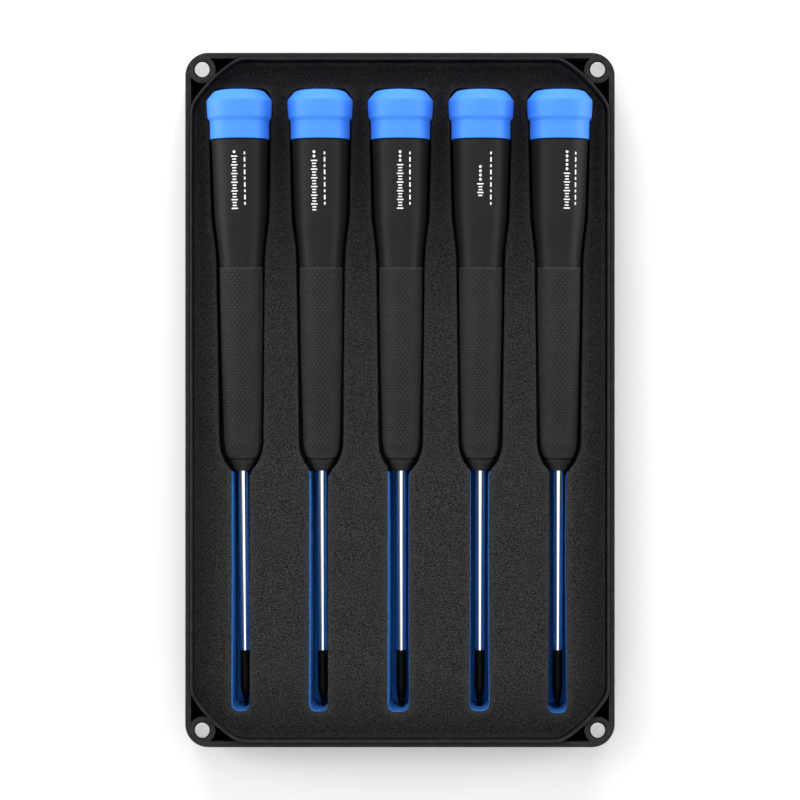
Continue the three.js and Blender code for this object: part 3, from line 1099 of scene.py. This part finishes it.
def grip_shell():
    """Rubber sleeve: a moulded edge painted pale as a painted highlight, the diamond knurl, and a rounded end
    towards the nose.
    """
    outer = filleted(
        [
            (CORE_RADIUS + 0.3, GRIP_START),
            (5.86, GRIP_START, 0.22),
            (5.84, 58, 3),
            (5.62, 74, 5),
            (5.14, 97, 2.5),
            (4.74, 99.4, 1.2),
            (3.86, GRIP_END, 0.3),
            (CORE_RADIUS + 0.3, GRIP_END),
        ]
    )
    table = sorted((s, r) for r, s, _ in outer if GRIP_START + 0.3 < s < GRIP_END - 0.05)
    step = KNURL_PITCH / KNURL_SAMPLES
    count = int((KNURL_END - KNURL_START) / step) + 1
    collar = [row for row in outer if row[1] <= GRIP_START + 0.25]
    rows = [(table_value(table, KNURL_START + i * step), KNURL_START + i * step) for i in range(count)]
    closing = [row for row in outer if row[1] > KNURL_END]
    profile = collar + [(r, s, 0.0) for r, s in rows] + closing
    shell = turned(profile, KNURL_ROUND * KNURL_SAMPLES, knurled, closed=True)
    raised = [math.hypot(x, z) - table_value(table, -y) for x, y, z in shell.points]
    shell.wear_and_painted_light = [max(0.0, min(1.0, 1 + r / (0.4 * KNURL_DEPTH))) for r in raised]
    # The sleeve's edge at the grip's start is painted well paler: a painted highlight line.
    for i, (_, y, _) in enumerate(shell.points):
        if -y < KNURL_START - 0.1:
            shell.wear_and_painted_light[i] = SEAM_PAINTED_HIGHLIGHT
    return shell


def blade_shell(neck_radius, tip_radius, lobes, depth):
    """Blade: round chromed shank with ears, blackened end tapering to a lobed working tip."""
    drive_start = TAPER_END + 0.9
    drive_radius = tip_radius + 0.35 * (neck_radius - tip_radius)
    profile = [
        (0, SHANK_START),
        (BLADE_RADIUS, SHANK_START, 0.15),
        (BLADE_RADIUS, EAR_START - 0.02),
        (BLADE_RADIUS, EAR_START + 0.02),
        (BLADE_RADIUS, EAR_END - 0.02),
        (BLADE_RADIUS, EAR_END + 0.02),
        (BLADE_RADIUS, TIP_START - 0.12, 0.05),
        (BLADE_RADIUS - 0.05, TIP_START, 0.05),
        (BLADE_RADIUS - 0.05, TAPER_START, 0.8),
        (neck_radius, TAPER_END, 0.6),
        (drive_radius + 0.02, drive_start),
        (drive_radius, drive_start + 0.3),
        (tip_radius, TIP_END - 0.2, 0.1),
        (0.8 * tip_radius, TIP_END, 0.06),
        (0, TIP_END),
    ]

    def section(station, angle, radius):
        if station < drive_start:
            return ear_section(BLADE_RADIUS, 0)(station, angle, radius)
        cut = min(1.0, (station - drive_start) / 0.3) * depth
        valley = 0.5 - 0.5 * math.cos(lobes * angle)
        return radius * (1 - cut * valley**0.8)

    return turned(filleted(profile), 60, section)


def body_radius(station):
    table = [(BODY_START, BODY_RADIUS)] + [(place, radius) for radius, place, _ in BODY_TAPER]
    return table_value(table, station)


def printed_bar(shell, station, offset, along, across):
    """One rounded bar of ink laid on the handle body: its middle, and its two lengths."""
    long_way = along >= across
    length, half = max(along, across), min(along, across) / 2
    flat = length / 2 - half
    turns = [math.pi * k / 8 for k in range(5)]
    ends = [(flat + half * math.sin(a), half * math.cos(a)) for a in turns]
    starts = [(-t, w) for t, w in reversed(ends)]
    if flat > 0.05:
        lines = starts + [(flat * k / 3, half) for k in range(-2, 3)] + ends
    else:
        lines = starts[:-1] + ends
    tops, unders = [], []
    for t, w in lines:
        for side in (-1, 1):
            ds, dx = (t, side * max(w, 0.02)) if long_way else (side * max(w, 0.02), t)
            s, x = station + ds, offset + dx
            for store, lift in ((tops, INK_HEIGHT), (unders, INK_SUNK)):
                radius = body_radius(s)
                angle = math.pi / 2 - x / radius
                r = radius + lift
                store.append((r * math.cos(angle), -s, r * math.sin(angle)))
    top, under = shell.ring(tops), shell.ring(unders)
    for k in range(len(lines) - 1):
        a, b, c, d = 2 * k, 2 * k + 1, 2 * k + 3, 2 * k + 2
        shell.faces.append((top[a], top[b], top[c], top[d]))
        shell.faces.append((under[d], under[c], under[b], under[a]))
        shell.faces.append((top[d], under[d], under[a], top[a]))
        shell.faces.append((top[b], under[b], under[c], top[c]))
    last = 2 * len(lines) - 2
    shell.faces.append((top[0], under[0], under[1], top[1]))
    shell.faces.append((top[last + 1], under[last + 1], under[last], top[last]))


def print_shell(number, rows):
    """Two plain rows: a scale of ticks with the driver's number in dots, and a row of dashes."""
    shell = Shell()
    first, second = rows
    start, end = SHORT_SCALE_SPAN if number == SHORT_SCALE_DRIVER else SCALE_SPAN
    at = start + 0.3
    for _ in range(number):
        printed_bar(shell, at + 0.35, first, DOT_SIZE, DOT_SIZE)
        at += DOT_STEP
    tick = 0
    at += 0.4
    while at < end:
        printed_bar(shell, at, first, TICK_WIDTH, SHORT_TICK if tick % 3 else LONG_TICK)
        tick += 1
        at += TICK_STEP
    at = DASH_ROW_START
    for dash in range(DASH_COUNT):
        length = DASH_LENGTHS[dash % 2]
        printed_bar(shell, at + length / 2, second, length, DASH_WIDTH)
        at += length + DASH_GAP
    return shell


def add_driver(number, bay, shells):
    place = driver_place(number)
    body = f"driver_{number}"
    made = [
        ("handle_body", "core", "handle_core", "handle_plastic", body),
        ("grip", "grip", "grip_sleeve", "grip_rubber", body),
        ("cap_moulding", "cap", "cap", "cap_plastic", f"turning_cap_{number}"),
    ]
    for name, source, node, slot, rides_on in made:
        piece = place_mesh(f"{name}_{number}", shells[source].data, place)
        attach(piece, rides_on)
        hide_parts(f"{node}_{number}")

    blade = blade_shell(*bay["tip"]).object(
        f"blade_shank_{number}",
        [chrome, black_oxide],
        lambda middle: 1 if -middle.y > TIP_START - 0.1 else 0,
        place,
    )
    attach(blade, body)
    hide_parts(f"blade_{number}")

    marks = print_shell(number, bay["rows"]).object(f"printed_rows_{number}", [ink], None, place)
    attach(marks, body)


def add_drivers():
    shells = {
        "core": core_shell().object("core_source", [handle_plastic]),
        "grip": grip_shell().object("grip_source", [grip_rubber]),
        "cap": cap_shell().object("cap_source", [cap_plastic]),
    }
    for number, bay in enumerate(BAYS, 1):
        add_driver(number, bay, shells)
        spindle = frame["nodes"][f"cap_spindle_{number}"]
        spindle.data.materials.clear()
        spindle.data.materials.append(steel)
    for source in shells.values():
        bpy.data.objects.remove(source)


# -------- stage, light, camera


def add_floor():
    shell = Shell()
    half = 2500
    corners = shell.ring([(-half, -half, 0), (half, -half, 0), (half, half, 0), (-half, half, 0)])
    shell.faces.append(tuple(corners))
    f = Finish("pale_floor", Specular_IOR_Level=0.0)
    f.colour(f.mixed(f.spread(f.grain(400, 2), 0.3, 0.7), (0.84, 0.84, 0.84), (0.86, 0.86, 0.86)))
    f.roughness(f.spread(f.grain(80, 2), 0.3, 0.7, 0.9, 1.0))
    floor = shell.object("floor", [f.material])


def add_panel(name, place, target, size, power):
    """A soft rectangular light aimed at a point. Sizes in metres, power in watts."""
    light = bpy.data.lights.new(name, "AREA")
    light.shape = "RECTANGLE"
    light.size, light.size_y = size
    light.energy = power
    lamp = bpy.data.objects.new(name, light)
    lamp.location = place
    lamp.rotation_mode = "QUATERNION"
    lamp.rotation_quaternion = (Vector(target) - Vector(place)).to_track_quat("-Z", "Y")
    lamp.visible_camera = False
    bpy.context.scene.collection.objects.link(lamp)


# Soft panels aimed at the tray's middle: [name, place, height aimed at, size, power].
PANELS = [
    ["overhead", (-0.13, 0.12, 1.2), 0, (1.0, 1.7), 6.6],
    ["upper_right", (0.72, 0.24, 0.6), 0, (0.4, 0.8), 1.4],
    ["upper_left", (-0.72, 0.24, 0.6), 0, (0.4, 0.8), 2.5],
    ["low_right", (0.9, 0, 0.16), 0.02, (0.6, 0.2), 4.0],
    ["low_left", (-0.9, 0, 0.16), 0.02, (0.6, 0.2), 4.4],
    ["far", (0, 0.8, 0.42), 0, (0.8, 0.3), 7.2],
    ["near", (0, -0.8, 0.5), 0, (0.7, 0.3), 2.6],
]


def add_light():
    scene = bpy.context.scene
    world = bpy.data.worlds.new("studio")
    world.use_nodes = True
    sky = world.node_tree.nodes["Background"]
    sky.inputs["Color"].default_value = (1, 1, 1, 1)
    sky.inputs["Strength"].default_value = 0.25
    scene.world = world
    for name, place, height, size, power in PANELS:
        add_panel(name, place, (0, 0, height), size, power)


def add_camera():
    """Straight above the tray's middle, level with it."""
    distance, view_width, rim = 0.570, 0.2186, 0.017
    data = bpy.data.cameras.new("camera")
    data.sensor_width = 36
    data.lens = data.sensor_width * distance / view_width
    data.clip_start, data.clip_end = 0.01, 20
    camera = bpy.data.objects.new("camera", data)
    camera.location = (0, 0, distance + rim)
    bpy.context.scene.collection.objects.link(camera)
    bpy.context.scene.camera = camera


for number, bay in enumerate(BAYS, 1):
    joint = next(j for j in frame["joints"] if j["name"] == f"spin_cap_{number}")
    bay["x"] = joint["pos_m"][0] / MM

tray_piece()
for corner in range(4):
    magnet_piece(corner + 1)
skin_piece()
base_piece()
add_drivers()
add_floor()
add_light()
add_camera()
bpy.context.scene.view_settings.view_transform = "Standard"
